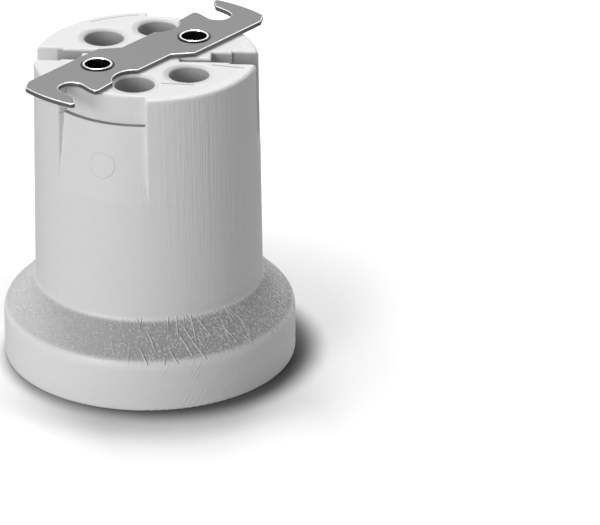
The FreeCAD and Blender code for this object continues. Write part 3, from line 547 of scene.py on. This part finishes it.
# Part of a circle as outline points, from one angle to another.
def round_points(ring, level, radius, start_deg, end_deg, steps):
    points = []
    for step in range(steps + 1):
        angle = math.radians(start_deg + (end_deg - start_deg) * step / steps)
        points.append((ring + radius * math.cos(angle), level + radius * math.sin(angle)))
    return points


# Bright nickel on the rolled lip, with painted shade down the bore and in the groove
# that the lip leaves.
def rivet_material():
    material = metal_material("rivet_nickel", (0.86, 0.86, 0.85), roughness=0.20,
                              fineness=2.0, depth=0.002)
    tree = material.node_tree
    colour = tree.nodes["Principled BSDF"].inputs["Base Color"]
    x, y, z = add_node(tree, "ShaderNodeSeparateXYZ", Vector=place_in_mm(tree)).outputs
    away = from_nearest(tree, x, y, RIVET_AXES_MM.values())
    groove = product(tree, ramp_up(tree, away, *GROOVE_OUTSIDE_MM),
                     ramp_up(tree, z, *GROOVE_HEIGHTS_MM))
    bore = product(tree, ramp_up(tree, away, *DARK_INSIDE_MM),
                   ramp_up(tree, z, *DARK_HEIGHTS_MM), DARK_SHARE)
    # Painted shade in the groove and down the bore.
    painted_shade = calc(tree, "MAXIMUM", groove, bore)
    bright = colour.links[0].from_socket
    tree.links.new(mix_colours(tree, painted_shade, bright, GROOVE_AND_BORE_SHADE), colour)
    return material


rivet_nickel = rivet_material()
rivet_outline = round_points(LIP_RING_MM, RIVET_TOP_MM - LIP_ROUND_MM, LIP_ROUND_MM,
                             *LIP_ARC_DEG, LIP_STEPS) + [
    (RIVET_SHANK_MM + GROOVE_IN_MM, PLATE_TOP_MM + GROOVE_UP_MM),
    (RIVET_SKIRT_MM - SKIRT_IN_MM, PLATE_TOP_MM + SKIRT_UP_MM),
    (RIVET_SKIRT_MM, PLATE_TOP_MM),
    (RIVET_SHANK_MM, PLATE_TOP_MM),
    (RIVET_SHANK_MM, RIVET_FOOT_MM + RIVET_FOOT_THICK_MM),
    (RIVET_SKIRT_MM, RIVET_FOOT_MM + RIVET_FOOT_THICK_MM),
    (RIVET_SKIRT_MM, RIVET_FOOT_MM + FOOT_ROUND_MM / 2),
    (RIVET_SKIRT_MM - FOOT_ROUND_MM, RIVET_FOOT_MM),
    (RIVET_BORE_MM + FOOT_ROUND_MM, RIVET_FOOT_MM),
    (RIVET_BORE_MM, RIVET_FOOT_MM + FOOT_ROUND_MM),
]
for side, axis in RIVET_AXES_MM.items():
    rivet = turned_piece("hollow_rivet_" + side, rivet_outline, axis, rivet_nickel)
    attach(rivet, "holder")
    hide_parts("bracket_rivet_" + side)
    finish_node("rivet_washer_" + side, sheet_steel)

# The screw shell and the middle contact: nickel-plated sheet, rolled to the lamp's
# thread, and a pressed button that the spring holds towards the lamp.

SHELL_SHARE, SHELL_SMOOTH_DEG = 0.75, 35

nickel_sheet = metal_material("nickel_sheet", (0.70, 0.69, 0.67), roughness=0.20,
                              fineness=1.2, depth=0.004, stretch=(1, 1, 6))
for name in ("contact_strip", "contact_button"):
    finish_node(name, nickel_sheet)

rolled_shell = joined_copy("rolled_shell", "screw_shell", (nickel_sheet,))
apply_modifier(rolled_shell, "DECIMATE", ratio=SHELL_SHARE)
bpy.ops.object.shade_smooth_by_angle(angle=math.radians(SHELL_SMOOTH_DEG))
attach(rolled_shell, "holder")
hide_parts("screw_shell")

# The terminals: sawn and drilled brass blocks, with zinc-plated steel screws and clamp
# plates. The contact's stem and the shell's pins are turned from the same brass.

turned_brass = metal_material("turned_brass", (0.62, 0.47, 0.22), roughness=0.30,
                              fineness=1.5, depth=0.004, stretch=(1, 1, 12))
for name in ("terminal_block_middle", "terminal_block_shell", "contact_stem",
             "shell_pin_right", "shell_pin_left"):
    finish_node(name, turned_brass)

screw_zinc = metal_material("screw_zinc", (0.55, 0.56, 0.57), roughness=0.32,
                            fineness=2.5, depth=0.003)
for name in ("clamp_plate_middle", "clamp_plate_shell", "terminal_screw_middle",
             "terminal_screw_shell", "fixing_screw_middle", "fixing_screw_shell"):
    finish_node(name, screw_zinc)

# The contact spring: round steel wire wound into open turns and zinc plated. It stands
# between the stem's flange and the end of its bore, wound to one fixed length.

SPRING_RING, SPRING_WIRE = 0.0033, 0.0004
SPRING_TURNS, STEPS_A_TURN, WIRE_SIDES = 6, 48, 16

spring_foot, spring_end = (corner[2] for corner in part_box("contact_spring"))
bpy.ops.object.select_all(action="DESELECT")
bpy.ops.mesh.primitive_circle_add(vertices=WIRE_SIDES, radius=SPRING_WIRE,
                                  location=(SPRING_RING, 0, spring_foot + SPRING_WIRE),
                                  rotation=(math.radians(90), 0, 0))
spring = bpy.context.active_object
spring.name = "wound_spring"
bpy.ops.object.transform_apply(location=True, rotation=True, scale=False)
apply_modifier(spring, "SCREW", axis="Z", iterations=SPRING_TURNS, steps=STEPS_A_TURN,
               render_steps=STEPS_A_TURN,
               screw_offset=(spring_end - spring_foot - 2 * SPRING_WIRE) / SPRING_TURNS)
bpy.ops.object.mode_set(mode="EDIT")
bpy.ops.mesh.select_all(action="SELECT")
bpy.ops.mesh.remove_doubles(threshold=MERGE_WITHIN)
bpy.ops.mesh.fill_holes(sides=0)
bpy.ops.mesh.normals_make_consistent(inside=False)
bpy.ops.object.mode_set(mode="OBJECT")
bpy.ops.object.shade_smooth_by_angle(angle=math.radians(ROUND_SMOOTH_DEG))
spring.data.materials.append(screw_zinc)
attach(spring, "holder")
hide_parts("contact_spring")
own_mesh(spring)

# The studio: a pale floor and background, a small lamp above, a broad one on the left in
# front and a weak one at the right behind, with the soft light of the room.

# Painted shade on the paper makes it darkest close round the flange. Further out it
# glows to white for the camera, a painted light, and in front of the holder it does so sooner.
FLOOR_SIDE = 6.0
FLOOR_SEEN, FLOOR_BOUNCE = 0.92, 0.45
CONTACT_SHADE, SHADE_RINGS, SHADE_MIDDLE = 0.16, (0.0325, 0.0405), (0.0030, -0.0012)
FLOOR_GLOW, GLOW_RINGS = 0.30, (0.037, 0.085)
FRONT_GLOW, FRONT_RINGS, FRONT_COSINES = 0.42, (0.0385, 0.0540), (-0.50, -1.0)
WHITE = (1, 1, 1, 1)
ROOM_LIGHT = 0.21
LAMP_AIM = (0, 0, 0.04)
LAMPS = (
    ("top_lamp", (-0.06, 0.46, 0.95), 0.35, 6.9),
    ("side_lamp", (-0.74, -0.95, 0.42), 0.6, 8.5),
    ("back_lamp", (1.10, 0.50, 0.30), 0.5, 1.5),
)
CAMERA_PLACE, CAMERA_PITCH_DEG = (0.0356, -1.0606, 0.5403), 63.94
CAMERA_LENS, CAMERA_SENSOR, CAMERA_REACH = 300.0, 36.0, 20.0

bpy.ops.object.select_all(action="DESELECT")
bpy.ops.mesh.primitive_plane_add(size=FLOOR_SIDE, location=(0, 0, 0))
floor = bpy.context.active_object
floor.name = "floor"
floor_paper = bpy.data.materials.new("floor_paper")
floor_paper.use_nodes = True
tree = floor_paper.node_tree
tree.nodes.clear()
seen = add_node(tree, "ShaderNodeLightPath").outputs["Is Camera Ray"]
spot = add_node(tree, "ShaderNodeTexCoord").outputs["Object"]
floor_x, floor_y = add_node(tree, "ShaderNodeSeparateXYZ", Vector=spot).outputs[:2]
from_axis = length_of(tree, floor_x, floor_y)
from_shade = from_nearest(tree, floor_x, floor_y, (SHADE_MIDDLE,))
shaded = between(tree, ramp_up(tree, from_shade, *SHADE_RINGS), FLOOR_SEEN * CONTACT_SHADE,
                 FLOOR_SEEN)
paper = calc(tree, "MULTIPLY_ADD", seen, calc(tree, "SUBTRACT", shaded, FLOOR_BOUNCE),
             FLOOR_BOUNCE)
paper = add_node(tree, "ShaderNodeCombineColor", Red=paper, Green=paper, Blue=paper)
surface = add_node(tree, "ShaderNodeBsdfDiffuse", Color=paper.outputs[0])
all_round = product(tree, ramp_up(tree, from_axis, *GLOW_RINGS), FLOOR_GLOW)
in_front = product(tree, ramp_up(tree, from_axis, *FRONT_RINGS), FRONT_GLOW,
                   ramp_up(tree, calc(tree, "DIVIDE", floor_y, from_axis), *FRONT_COSINES))
glow = add_node(tree, "ShaderNodeEmission", Color=WHITE,
                Strength=product(tree, seen, calc(tree, "MAXIMUM", all_round, in_front)))
both = tree.nodes.new("ShaderNodeAddShader")
tree.links.new(surface.outputs[0], both.inputs[0])
tree.links.new(glow.outputs[0], both.inputs[1])
leave = tree.nodes.new("ShaderNodeOutputMaterial")
tree.links.new(both.outputs[0], leave.inputs["Surface"])
floor.data.materials.append(floor_paper)

world = bpy.data.worlds.new("room")
bpy.context.scene.world = world
world.use_nodes = True
tree = world.node_tree
tree.nodes.clear()
light_path = add_node(tree, "ShaderNodeLightPath").outputs
open_view = calc(tree, "MAXIMUM", light_path["Is Camera Ray"],
                 calc(tree, "MAXIMUM", light_path["Is Glossy Ray"],
                      light_path["Is Transmission Ray"]))
room = add_node(tree, "ShaderNodeBackground", Color=WHITE,
                Strength=between(tree, open_view, ROOM_LIGHT, 1.0))
leave = tree.nodes.new("ShaderNodeOutputWorld")
tree.links.new(room.outputs[0], leave.inputs["Surface"])

for name, place, size, power in LAMPS:
    light = bpy.data.lights.new(name, "AREA")
    light.shape = "SQUARE"
    light.size = size
    light.energy = power
    lamp = bpy.data.objects.new(name, light)
    bpy.context.scene.collection.objects.link(lamp)
    lamp.location = place
    aim = Vector(LAMP_AIM) - Vector(place)
    lamp.rotation_euler = aim.to_track_quat("-Z", "Y").to_euler()

camera_data = bpy.data.cameras.new("camera")
camera_data.lens = CAMERA_LENS
camera_data.sensor_width = CAMERA_SENSOR
camera_data.clip_end = CAMERA_REACH
camera = bpy.data.objects.new("camera", camera_data)
bpy.context.scene.collection.objects.link(camera)
camera.location = CAMERA_PLACE
camera.rotation_euler = (math.radians(CAMERA_PITCH_DEG), 0, 0)
bpy.context.scene.camera = camera
bpy.context.scene.view_settings.view_transform = "Standard"
